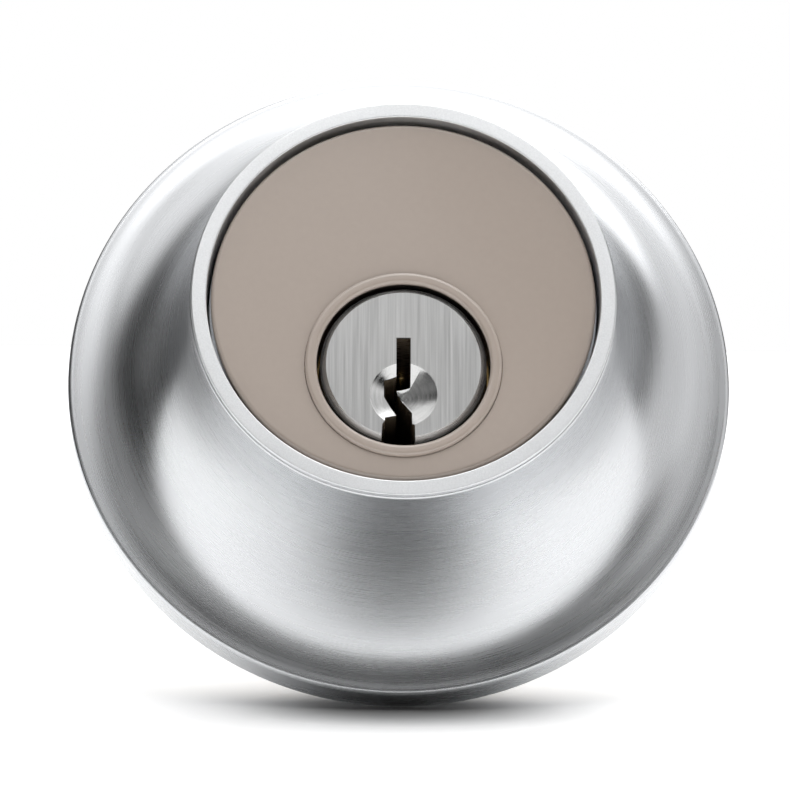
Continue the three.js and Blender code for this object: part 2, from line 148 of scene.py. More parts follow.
class LockFinishes(bpy.types.PropertyGroup):
    steel: colour("Satin steel", "Housing", (0.66, 0.67, 0.685))
    blasted: colour("Blasted steel", "Bezel ring", (0.76, 0.77, 0.78))
    taupe: colour("Taupe lacquer", "Face disc and collar", (0.43, 0.36, 0.31))
    nickel: colour("Satin nickel", "Plug and drivers", (0.60, 0.60, 0.595))
    brass: colour("Brass", "Cylinder body and key pins", (0.70, 0.50, 0.22))
    zinc: colour("Zinc plate", "Plate, screws and tailpiece", (0.55, 0.57, 0.60))
    hardened: colour("Hardened steel", "Guard sleeve and drill pins", (0.16, 0.165, 0.17))
    foam: colour("Foam", "Door gasket", (0.018, 0.018, 0.02))


class LockStage(bpy.types.PropertyGroup):
    lean: turn("Lean", "How far the lock leans back on the floor", 26.6)
    view_turn: turn("View turn", "Camera's turn to the left of the lock", 1.13)
    view_drop: turn("View drop", "Camera's angle below the lock's axis", 21.55)
    view_distance: size("View distance", "Camera's distance from the lock", 402 * MM)
    aim_left: size("Aim left", "How far left of the origin the camera aims", 0.315 * MM)
    aim_down: size("Aim down", "How far below the origin the camera aims", 0.19 * MM)
    lens: bpy.props.FloatProperty(name="Lens", description="Focal length in mm", default=189.1)
    floor_radius: size("Floor radius", "Radius of the pale floor", 900 * MM)
    floor_glow: share("Floor glow", "Light added to the floor away from the lock", 0.36)


# ------------------------------------------------------------------ modelling by hand


def start(name):
    """One point at the origin, selected in edit mode."""
    bpy.ops.object.select_all(action="DESELECT")
    bpy.ops.mesh.primitive_plane_add(size=MM)
    piece = bpy.context.object
    piece.name = name
    piece.data.name = name
    bpy.ops.object.mode_set(mode="EDIT")
    bpy.ops.mesh.select_all(action="SELECT")
    bpy.ops.mesh.merge(type="CENTER")
    return piece


def draw(points, closed):
    """Moves the selected point to the first place and extrudes it through the others."""
    bpy.ops.transform.translate(value=points[0])
    path = points + points[:1] if closed else points
    for before, after in zip(path, path[1:]):
        bpy.ops.mesh.extrude_region_move(TRANSFORM_OT_translate={"value": after - before})


def settle():
    """Merges what meets, turns the faces outwards and leaves edit mode."""
    bpy.ops.mesh.select_all(action="SELECT")
    bpy.ops.mesh.remove_doubles(threshold=0.001 * MM)
    bpy.ops.mesh.normals_make_consistent(inside=False)
    bpy.ops.object.mode_set(mode="OBJECT")


def turned(name, outline, axis=LOCK_AXIS, steps=96):
    """A body turned about a line along Y from (radius, out) points."""
    piece = start(name)
    on_axis = outline[0][0] == 0 and outline[-1][0] == 0
    points = [Vector((axis.x + radius, -out, axis.z)) for radius, out in outline]
    draw(points, not on_axis)
    bpy.ops.mesh.select_all(action="SELECT")
    bpy.ops.mesh.spin(steps=steps, angle=2 * math.pi, center=axis, axis=(0, 1, 0))
    settle()
    return piece


def upright(name, outline, x, y, z=0, steps=32):
    """A body turned about a line along Z from (radius, height) points that end on the line."""
    piece = start(name)
    draw([Vector((x + radius, y, z + height)) for radius, height in outline], False)
    bpy.ops.mesh.select_all(action="SELECT")
    bpy.ops.mesh.spin(steps=steps, angle=2 * math.pi, center=(x, y, z), axis=(0, 0, 1))
    settle()
    return piece


def prism(name, corners, travel):
    """A closed outline of points carried along a straight travel."""
    piece = start(name)
    draw([Vector(corner) for corner in corners], True)
    bpy.ops.mesh.select_all(action="SELECT")
    bpy.ops.mesh.remove_doubles(threshold=0.001 * MM)
    bpy.ops.mesh.edge_face_add()
    bpy.ops.mesh.extrude_region_move(TRANSFORM_OT_translate={"value": travel})
    settle()
    return piece


def rod(name, radius, x, z, out_from, out_to, vertices=64):
    """A round bar along Y between two distances out from the door."""
    return turned(
        name,
        [(0, out_from), (radius, out_from), (radius, out_to), (0, out_to)],
        Vector((x, 0, z)),
        vertices,
    )


def block(name, corner, opposite):
    """A box between two corners."""
    (x0, y0, z0), (x1, y1, z1) = corner, opposite
    corners = [(x0, y0, z0), (x1, y0, z0), (x1, y1, z0), (x0, y1, z0)]
    return prism(name, corners, Vector((0, 0, z1 - z0)))


def modify(piece, kind, **settings):
    """Adds a modifier and applies it at once."""
    bpy.ops.object.select_all(action="DESELECT")
    piece.select_set(True)
    bpy.context.view_layer.objects.active = piece
    bpy.ops.object.modifier_add(type=kind)
    modifier = piece.modifiers[-1]
    for key, value in settings.items():
        setattr(modifier, key, value)
    bpy.ops.object.modifier_apply(modifier=modifier.name)
    return piece


def combine(piece, operation, tools):
    for tool in tools:
        modify(piece, "BOOLEAN", operation=operation, object=tool, solver="EXACT")
        bpy.data.objects.remove(tool)
    return piece


def cut(piece, *tools):
    return combine(piece, "DIFFERENCE", tools)


def join(piece, *tools):
    return combine(piece, "UNION", tools)


def ease(piece, radius, segments=3, degrees=32):
    """Rounds a piece's sharp edges."""
    return modify(
        piece,
        "BEVEL",
        width=radius,
        segments=segments,
        limit_method="ANGLE",
        angle_limit=math.radians(degrees),
        use_clamp_overlap=True,
    )


def deliver(piece, body, slot_name, node, degrees=28, finish=None):
    """Smooths a finished piece, dresses it and lets it stand for its CAD node."""
    bpy.ops.object.select_all(action="DESELECT")
    piece.select_set(True)
    bpy.context.view_layer.objects.active = piece
    bpy.ops.object.shade_smooth_by_angle(angle=math.radians(degrees))
    modify(piece, "WEIGHTED_NORMAL", keep_sharp=True, weight=90)
    piece.data.materials.clear()
    piece.data.materials.append(bpy.data.materials[finish or slot_name])
    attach(piece, body)
    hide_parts(node)
    return piece


# ------------------------------------------------------------------ finishes


class Shading:
    """A material or world under construction, with short calls for its nodes."""

    def __init__(self, tree):
        self.tree = tree
        tree.nodes.clear()

    def add(self, kind, inputs=None, **settings):
        made = self.tree.nodes.new(kind)
        for key, value in settings.items():
            setattr(made, key, value)
        for key, value in (inputs or {}).items():
            if isinstance(value, bpy.types.NodeSocket):
                self.tree.links.new(value, made.inputs[key])
            else:
                made.inputs[key].default_value = value
        return made

    def maths(self, operation, first, second=0.0, third=0.0):
        inputs = {0: first, 1: second, 2: third}
        return self.add("ShaderNodeMath", inputs, operation=operation).outputs[0]

    def degrees(self, operation, first, second=0.0):
        return self.maths("MULTIPLY", self.maths(operation, first, second), 180 / math.pi)

    def dot(self, first, second):
        inputs = {0: first, 1: second}
        return self.add("ShaderNodeVectorMath", inputs, operation="DOT_PRODUCT").outputs["Value"]

    def ramp(self, value, low_in, high_in, low_out=0.0, high_out=1.0, smooth=True):
        inputs = {
            "Value": value,
            "From Min": low_in,
            "From Max": high_in,
            "To Min": low_out,
            "To Max": high_out,
        }
        kind = "SMOOTHSTEP" if smooth else "LINEAR"
        return self.add("ShaderNodeMapRange", inputs, interpolation_type=kind).outputs["Result"]

    def mix(self, factor, first, second):
        inputs = {0: factor, 2: first, 3: second}
        return self.add("ShaderNodeMix", inputs, data_type="FLOAT").outputs[0]

    def blend(self, factor, first, second):
        """A colour between two."""
        mixed = self.add("ShaderNodeMix", data_type="RGBA")
        for socket, value in zip((mixed.inputs[0], mixed.inputs[6], mixed.inputs[7]), (factor, first, second)):
            if isinstance(value, bpy.types.NodeSocket):
                self.tree.links.new(value, socket)
            else:
                socket.default_value = value
        return mixed.outputs[2]

    def position(self):
        """The point's X, Y and Z in the lock's own frame."""
        place = self.add("ShaderNodeTexCoord").outputs["Object"]
        return self.add("ShaderNodeSeparateXYZ", {0: place}).outputs

    def vector(self, x, y, z):
        return self.add("ShaderNodeCombineXYZ", {0: x, 1: y, 2: z}).outputs[0]

    def noise(self, vector, scale, detail=2.0, roughness=0.5):
        inputs = {"Vector": vector, "Scale": scale, "Detail": detail, "Roughness": roughness}
        return self.add("ShaderNodeTexNoise", inputs).outputs["Fac"]

    def around(self, axis):
        """Radius from a line along Y and the direction cosines across it."""
        x, y, z = self.position()
        across = self.maths("SUBTRACT", x, axis.x)
        up = self.maths("SUBTRACT", z, axis.z)
        square = self.maths("ADD", self.maths("MULTIPLY", across, across), self.maths("MULTIPLY", up, up))
        radius = self.maths("MAXIMUM", self.maths("SQRT", square), 0.01 * MM)
        return radius, self.maths("DIVIDE", across, radius), self.maths("DIVIDE", up, radius), y

    def turned_grain(self, axis, lines, arc, detail=3.0):
        """Fine circular tool lines: lines per metre across them, arc their shortness along."""
        radius, cosine, sine, y = self.around(axis)
        depth = self.maths("ADD", radius, y)
        across = self.maths("MULTIPLY", depth, lines)
        along = self.maths("MULTIPLY", cosine, arc), self.maths("MULTIPLY", sine, arc)
        return self.noise(self.vector(across, *along), 1.0, detail)

    def straight_grain(self, across, along, detail=3.0):
        """Fine lines that run up and down: across and along are cycles per metre."""
        x, y, z = self.position()
        vector = self.vector(
            self.maths("MULTIPLY", x, across),
            self.maths("MULTIPLY", y, across),
            self.maths("MULTIPLY", z, along),
        )
        return self.noise(vector, 1.0, detail)

    def speckle(self, scale, detail=2.0):
        place = self.add("ShaderNodeTexCoord").outputs["Object"]
        return self.noise(place, scale, detail)

    def tint(self, base, grain, amount):
        """The base colour, lighter and darker with the grain."""
        factor = self.ramp(grain, 0.25, 0.75, 1 - amount, 1 + amount, smooth=False)
        scale = self.add("ShaderNodeVectorMath", {0: (*base,), 1: (1, 1, 1)}, operation="SCALE")
        self.tree.links.new(factor, scale.inputs["Scale"])
        return scale.outputs[0]

    def bump(self, height, strength, distance):
        inputs = {"Strength": strength, "Distance": distance, "Height": height}
        return self.add("ShaderNodeBump", inputs).outputs["Normal"]

    def surface(self, inputs):
        shader = self.add("ShaderNodeBsdfPrincipled", inputs)
        self.add("ShaderNodeOutputMaterial", {"Surface": shader.outputs[0]})
        return shader


def new_finish(name):
    found = bpy.data.materials.get(name)
    if found:
        bpy.data.materials.remove(found)
    material = bpy.data.materials.new(name)
    material.use_nodes = True
    return material, Shading(material.node_tree)


# Near-black brown painted into a bore as painted shade.
BORE_SHADE_PAINT = (0.03, 0.024, 0.018, 1)


def turned_metal(name, base, axis, lines, arc, roughness, spread, anisotropy, tint=0.03, bump=0.07, bore=0.0):
    """Metal with circular tool lines, which draw its reflections out, and painted shade, near black, inside a bore.
    """
    material, shading = new_finish(name)
    grain = shading.turned_grain(axis, lines, arc)
    cloud = shading.speckle(120)
    smear = shading.ramp(cloud, 0.3, 0.7, -spread / 2, spread / 2)
    rough = shading.maths("ADD", shading.ramp(grain, 0.3, 0.7, roughness - spread, roughness + spread), smear)
    tangent = shading.add("ShaderNodeTangent", direction_type="RADIAL", axis="Y").outputs[0]
    radius = shading.around(axis)[0]
    # Painted shade: inside the bore radius the colour turns near black.
    inside = shading.ramp(radius, bore, bore + 0.1 * MM, 1.0, 0.0)
    shading.surface({
        "Base Color": shading.blend(inside, shading.tint(base, grain, tint), BORE_SHADE_PAINT),
        "Metallic": 1.0,
        "Roughness": rough,
        "Anisotropic": anisotropy,
        "Anisotropic Rotation": 0.25,
        "Tangent": tangent,
        "Normal": shading.bump(grain, bump, 0.02 * MM),
    })
    return material


def plain_metal(name, base, roughness, speckle_scale, spread=0.06, tint=0.05, bump=0.08):
    """Metal with an even, directionless grain."""
    material, shading = new_finish(name)
    grain = shading.speckle(speckle_scale, 4.0)
    cloud = shading.speckle(90)
    rough = shading.ramp(cloud, 0.3, 0.7, roughness - spread, roughness + spread)
    shading.surface({
        "Base Color": shading.tint(base, grain, tint),
        "Metallic": 1.0,
        "Roughness": rough,
        "Normal": shading.bump(grain, bump, 0.02 * MM),
    })
    return material


def straight_metal(name, base, roughness, across, along, spread=0.08, tint=0.12, bump=0.25):
    """Metal brushed in straight lines up and down."""
    material, shading = new_finish(name)
    grain = shading.straight_grain(across, along)
    shading.surface({
        "Base Color": shading.tint(base, grain, tint),
        "Metallic": 1.0,
        "Roughness": shading.ramp(grain, 0.3, 0.7, roughness - spread, roughness + spread),
        "Normal": shading.bump(grain, bump, 0.01 * MM),
    })
    return material


def lacquer(name, base, roughness, bore=0.0):
    """A smooth lacquer with a faint orange peel under a clear coat; inside a bore it has no coat and is painted
    near black as painted shade.
    """
    material, shading = new_finish(name)
    peel = shading.speckle(1400, 2.0)
    radius, cosine, sine, y = shading.around(PLUG_AXIS)
    # Painted shade: deeper than 0.3 mm behind the collar's front and inside the bore radius the colour turns near
    # black.
    edge = low("cylinder_collar").y
    depth = shading.ramp(y, edge + 0.3 * MM, edge + 0.7 * MM)
    inside = shading.maths("MULTIPLY", depth, shading.ramp(radius, bore, bore + 0.12 * MM, 1.0, 0.0))
    shading.surface({
        # Near-black painted shade in the bore.
        "Base Color": shading.blend(inside, shading.tint(base, peel, 0.012), (0.012, 0.010, 0.009, 1)),
        "Metallic": 0.0,
        "Roughness": shading.ramp(peel, 0.2, 0.8, roughness - 0.02, roughness + 0.02),
        "Coat Weight": shading.maths("SUBTRACT", 1.0, inside),
        "Coat Roughness": 0.03,
        "Normal": shading.bump(peel, 0.02, 0.02 * MM),
    })
    return material


def foam(name, base):
    """Closed-cell foam with a pitted skin."""
    material, shading = new_finish(name)
    pits = shading.speckle(4000, 3.0)
    shading.surface({
        "Base Color": shading.tint(base, pits, 0.3),
        "Roughness": shading.ramp(pits, 0.3, 0.7, 0.8, 1.0),
        "Normal": shading.bump(pits, 0.6, 0.1 * MM),
    })
    return material


def plug_metal(name, base, sizes):
    """Brushed up and down on the face, drilled in the dimple, turned outside, and painted dark brown with less
    metal inside as painted shade.
    """
    material, shading = new_finish(name)
    front = low("plug").y
    drill = PLUG_AXIS - Vector((0, 0, sizes.dimple_drop))
    radius = shading.around(PLUG_AXIS)[0]
    from_drill, cosine, sine, y = shading.around(drill)
    face = shading.ramp(y, front + 0.01 * MM, front + 0.03 * MM, 1.0, 0.0)
    deep = shading.ramp(y, front + 0.15 * MM, front + 0.3 * MM)
    core = shading.ramp(radius, sizes.head_radius - 0.75 * MM, sizes.head_radius - 0.65 * MM, 1.0, 0.0)
    off_drill = shading.ramp(from_drill, sizes.dimple_radius * 0.97, sizes.dimple_radius)
    flank = shading.maths("ADD", y, shading.maths("MULTIPLY", from_drill, math.tan(math.radians(31))))
    tip = front + sizes.dimple_radius * math.tan(math.radians(31))
    below_cone = shading.ramp(flank, tip + 0.05 * MM, tip + 0.2 * MM)
    deeper = shading.maths("MAXIMUM", off_drill, below_cone)
    # Painted shade: deep inside the keyway, chambers and drive slot, away from the dimple, the colour turns dark
    # brown and half-metallic.
    painted_keyway_shade = shading.maths("MULTIPLY", shading.maths("MULTIPLY", deep, core), deeper)
    brushed = shading.straight_grain(9000, 130, 4.0)
    lathed = shading.turned_grain(PLUG_AXIS, 7000, 2.0)
    drilled = shading.turned_grain(drill, 9000, 1.2)
    grain = shading.mix(face, shading.mix(off_drill, drilled, lathed), brushed)
    rough = shading.mix(face, shading.mix(off_drill, 0.16, 0.3), 0.34)
    across = shading.vector(
        shading.mix(face, shading.mix(off_drill, cosine, 0.0), 1.0),
        shading.mix(face, off_drill, 0.0),
        shading.mix(face, shading.mix(off_drill, sine, 0.0), 0.0),
    )
    shading.surface({
        # Dark brown painted shade inside the plug.
        "Base Color": shading.blend(painted_keyway_shade, shading.tint(base, grain, 0.12), (0.17, 0.13, 0.09, 1)),
        "Metallic": shading.ramp(painted_keyway_shade, 0, 1, 1.0, 0.4),
        "Roughness": shading.maths("ADD", rough, shading.ramp(grain, 0.3, 0.7, -0.06, 0.06)),
        "Anisotropic": 0.7,
        "Tangent": across,
        "Normal": shading.bump(grain, 0.2, 0.01 * MM),
    })
    return material


class LOCK_OT_finishes(bpy.types.Operator):
    """Mixes every finish of the lock"""

    bl_idname = "lock.finishes"
    bl_label = "Finishes"

    def execute(self, context):
        tones = context.scene.lock_finishes
        sizes = context.scene.lock_sizes
        turned_metal("satin_steel", tones.steel, LOCK_AXIS, 7000, 1.2, 0.28, 0.018, 0.5)
        plain_metal("blasted_steel", tones.blasted, 0.42, 9000, tint=0.08, bump=0.25)
        lacquer("taupe_lacquer", tones.taupe, 0.3, sizes.collar_inner)
        plug_metal("plug_face", tones.nickel, sizes)
        turned_metal("plug_nickel", tones.nickel, PLUG_AXIS, 6000, 2.0, 0.3, 0.05, 0.3)
        turned_metal("brass", tones.brass, PLUG_AXIS, 6000, 2.0, 0.28, 0.05, 0.3)
        # The cylinder body's brass gets painted shade, near black, inside the plug's bore.
        bore_shade = {"bore": width("plug") / 2 + 0.1 * MM}
        turned_metal("body_brass_shaded_bore", tones.brass, PLUG_AXIS, 6000, 2.0, 0.28, 0.05, 0.3, **bore_shade)
        plain_metal("zinc_steel", tones.zinc, 0.36, 3000, tint=0.1)
        plain_metal("hardened_steel", tones.hardened, 0.42, 5000)
        plain_metal("spring_steel", tones.zinc, 0.3, 5000)
        foam("black_foam", tones.foam)
        return {"FINISHED"}


# ------------------------------------------------------------------ outlines


def rounding(radius, out, size, start_degrees, end_degrees, steps=8):
    """Points of an arc centred on (radius, out)."""
    angles = [
        math.radians(start_degrees + (end_degrees - start_degrees) * i / steps)
        for i in range(steps + 1)
    ]
    return [(radius + size * math.cos(a), out + size * math.sin(a)) for a in angles]


def ring_outline(inner, outer, back, front, edge):
    """A plain ring's section with all four corners rounded."""
    return [
        *rounding(outer - edge, back + edge, edge, -90, 0, 5),
        *rounding(outer - edge, front - edge, edge, 0, 90, 5),
        *rounding(inner + edge, front - edge, edge, 90, 180, 5),
        *rounding(inner + edge, back + edge, edge, 180, 270, 5),
    ]


def flare(sizes, wall, steps):
    """The trumpet's line from the mouth down to the rim, moved inwards by a wall."""
    corner = high("trim_housing").x - sizes.rim_edge
    mouth = -low("trim_housing").y
    across = corner - sizes.mouth_radius + wall
    along = mouth - sizes.rim_height + wall
    power = 2 / sizes.flare_power
    angles = [math.pi / 2 * i / steps for i in range(steps + 1)]
    return [
        (corner - across * max(math.cos(a), 0) ** power, mouth - along * math.sin(a) ** power)
        for a in angles
    ]


def screw_places():
    """The trim screws' axes as (x, z) pairs."""
    centres = [middle(f"trim_screw_{i}") for i in range(1, 4)]
    return [(centre.x, centre.z) for centre in centres]


# ------------------------------------------------------------------ the pieces


class LOCK_OT_housing(bpy.types.Operator):
    """Turns the flared trim housing and drills its screw posts"""

    bl_idname = "lock.housing"
    bl_label = "Trim Housing"

    def execute(self, context):
        sizes = context.scene.lock_sizes
        rim = high("trim_housing").x
        rim_inner = rim - sizes.rim_wall
        mouth = -low("trim_housing").y
        ledge = -high("bezel_ring").y
        web_back = ledge - sizes.web
        lip = 0.2 * MM
        bore = sizes.bezel_inner + sizes.bezel_skirt + 0.05 * MM
        inner = [p for p in flare(sizes, sizes.shell_wall, 48) if p[1] < web_back and p[0] < rim_inner]
        outline = [
            (rim_inner, 0),
            *rounding(rim - 0.15 * MM, 0.15 * MM, 0.15 * MM, -90, 0, 4),
            *rounding(rim - sizes.rim_edge, sizes.rim_height - sizes.rim_edge, sizes.rim_edge, 0, 90, 10),
            *flare(sizes, 0, 96)[::-1][1:-1],
            *rounding(sizes.mouth_radius - lip, mouth - lip, lip, 0, 90, 6),
            *rounding(bore + 0.1 * MM, mouth - 0.1 * MM, 0.1 * MM, 90, 180, 4),
            (bore, ledge),
            (sizes.ledge_bore, ledge),
            (sizes.ledge_bore, web_back),
            (inner[0][0], web_back),
            *inner,
            (rim_inner, inner[-1][1]),
        ]
        housing = turned("housing_shell", outline, steps=sizes.turned_steps)
        top = web_back + 0.6 * MM
        plate = -low("centring_plate").y
        screw = -low("trim_screw_1").y
        places = screw_places()
        posts = [rod(f"post_{i}", 2.6 * MM, x, z, plate, top) for i, (x, z) in enumerate(places)]
        bores = [rod(f"bore_{i}", 1.2 * MM, x, z, 0, screw + 0.4 * MM) for i, (x, z) in enumerate(places)]
        inside = [(0, 0), (rim_inner, 0), *flare(sizes, 0.9 * MM, 32)[::-1], (0, mouth)]
        for post in posts:
            room = turned("room", inside, steps=96)
            combine(post, "INTERSECT", [room])
        join(housing, *posts)
        cut(housing, *bores)
        deliver(housing, "root", "satin_steel", "trim_housing")
        return {"FINISHED"}


class LOCK_OT_face(bpy.types.Operator):
    """Turns the bezel ring, the lacquered disc with its backing and the collar"""

    bl_idname = "lock.face"
    bl_label = "Bezel, Disc and Collar"

    def execute(self, context):
        sizes = context.scene.lock_sizes
        front = -low("bezel_ring").y
        back = -high("bezel_ring").y
        shoulder = front - sizes.bezel_lip
        outer = high("bezel_ring").x
        inner = sizes.bezel_inner
        skirt = inner + sizes.bezel_skirt
        edge = 0.14 * MM
        bezel = turned("bezel", [
            (inner, back),
            (skirt, back),
            (skirt, shoulder),
            *rounding(outer - 0.05 * MM, shoulder + 0.05 * MM, 0.05 * MM, -90, 0, 3),
            *rounding(outer - edge, front - edge, edge, 0, 90, 8),
            *rounding(inner + edge, front - edge, edge, 90, 180, 8),
        ], steps=sizes.turned_steps)
        deliver(bezel, "root", "blasted_steel", "bezel_ring", 40)

        hole = high("cylinder_collar").x + 0.04 * MM
        front, back = -low("face_disc").y, -high("face_disc").y
        radius = high("face_disc").x
        edge = 0.42 * MM
        disc = turned("disc", [
            (0, back),
            (radius, back),
            *rounding(radius - edge, front - edge, edge, 0, 90, 12),
            (0, front),
        ], steps=sizes.turned_steps)
        cut(disc, rod("disc_hole", hole, 0, PLUG_AXIS.z, back - MM, front + MM, 128))
        deliver(disc, "root", "taupe_lacquer", "face_disc", 40)

        front, back = -low("face_backing").y, -high("face_backing").y
        radius = high("face_backing").x
        backing = turned("disc_backing", [
            (0, back),
            *rounding(radius - 0.1 * MM, back + 0.1 * MM, 0.1 * MM, -90, 0, 4),
            *rounding(radius - 0.1 * MM, front - 0.1 * MM, 0.1 * MM, 0, 90, 4),
            (0, front),
        ], steps=128)
        cut(backing, rod("backing_hole", hole + 0.25 * MM, 0, PLUG_AXIS.z, back - MM, front + MM, 96))
        deliver(backing, "root", "zinc_steel", "face_backing")

        front, back = -low("cylinder_collar").y, -high("cylinder_collar").y
        outer, edge = high("cylinder_collar").x, 0.36 * MM
        inner = sizes.collar_inner
        collar = turned("collar", [
            (inner, back),
            (outer, back),
            *rounding(outer - edge, front - edge, edge, 0, 90, 12),
            *rounding(inner + edge, front - edge, edge, 90, 180, 12),
        ], PLUG_AXIS, 144)
        deliver(collar, "root", "taupe_lacquer", "cylinder_collar", 40)
        return {"FINISHED"}


class LOCK_OT_cylinder(bpy.types.Operator):
    """Makes the cylinder body with its bores, the chamber cover and the drill pins"""

    bl_idname = "lock.cylinder"
    bl_label = "Cylinder Body"

    def execute(self, context):
        sizes = context.scene.lock_sizes
        front, rear = -low("cylinder_body").y, -high("cylinder_body").y
        flange = high("cylinder_body").x
        barrel = sizes.ledge_bore - 0.2 * MM
        ledge = -high("bezel_ring").y
        shoulder = -low("plug").y - sizes.head_depth
        edge = 0.2 * MM
        body = turned("cylinder", [
            (0, rear),
            *rounding(barrel - 0.4 * MM, rear + 0.4 * MM, 0.4 * MM, -90, 0, 5),
            (barrel, ledge),
            *rounding(flange - edge, ledge + edge, edge, -90, 0, 5),
            *rounding(flange - edge, front - edge, edge, 0, 90, 5),
            (0, front),
        ], steps=144)
        x, z = 0, PLUG_AXIS.z
        radius = sizes.plug_radius + sizes.pin_gap
        cover_low, cover_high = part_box("chamber_cover")
        gap = Vector((0.05, 0.05, 0.05)) * MM
        top = Vector((cover_high.x, cover_high.y, barrel + MM))
        tools = [
            rod("plug_bore", radius, x, z, rear - MM, front, 96),
            rod("head_bore", sizes.collar_inner, x, z, shoulder - 0.02 * MM, front + MM, 128),
            block("cover_slot", cover_low - gap, top + gap),
        ]
        for i in PINS:
            pin = middle(f"driver_pin_{i}")
            bore = width(f"driver_pin_{i}") / 2 + sizes.pin_gap
            height = high("chamber_cover").z - pin.z + MM
            tools.append(upright(
                f"chamber_{i}",
                [(0, z - pin.z), (bore, z - pin.z), (bore, height), (0, height)],
                pin.x, pin.y, pin.z,
            ))
        for side in (-1, 1):
            tools.append(rod(f"bolt_hole_{side}", 2.05 * MM, side * 10.8 * MM, 2 * MM, rear - MM, rear + 14 * MM))
        for side in ("left", "right"):
            pin = middle(f"drill_pin_{side}")
            bore = width(f"drill_pin_{side}") / 2 + sizes.pin_gap
            tools.append(rod(f"bore_{side}", bore, pin.x, pin.z, front - 6.05 * MM, front + MM, 32))
        cut(body, *tools)
        deliver(body, "root", "brass", "cylinder_body", finish="body_brass_shaded_bore")

        cover = block("cover", cover_low, cover_high)
        ease(cover, 0.15 * MM)
        deliver(cover, "root", "brass", "chamber_cover", 40)

        for side in ("left", "right"):
            node = f"drill_pin_{side}"
            pin = middle(node)
            radius = width(node) / 2
            near, far = -high(node).y, -low(node).y
            outline = [
                (0, near),
                *rounding(radius - 0.2 * MM, near + 0.2 * MM, 0.2 * MM, -90, 0, 4),
                *rounding(radius - 0.1 * MM, far - 0.1 * MM, 0.1 * MM, 0, 90, 4),
                (0, far),
            ]
            made = turned(f"drill_guard_{side}", outline, Vector((pin.x, 0, pin.z)), 32)
            deliver(made, "root", "hardened_steel", node, 40)
        return {"FINISHED"}


KEYWAY = [
    (0.65, 2.6), (0.65, -1.9), (-0.6, -2.15), (-0.45, -2.55), (0, -3.15), (0.78, -4.45),
    (0.78, -5.8), (1.03, -5.9), (1.1, -8.6), (-2.1, -8.6), (-1.93, -5.8), (-1.7, -5.5),
    (-1.7, -5.15), (-0.65, -4.75), (-1.55, -3.27), (-1.77, -2.9), (-1.77, -1.45), (-0.65, -1),
    (-0.65, 2.6),
]


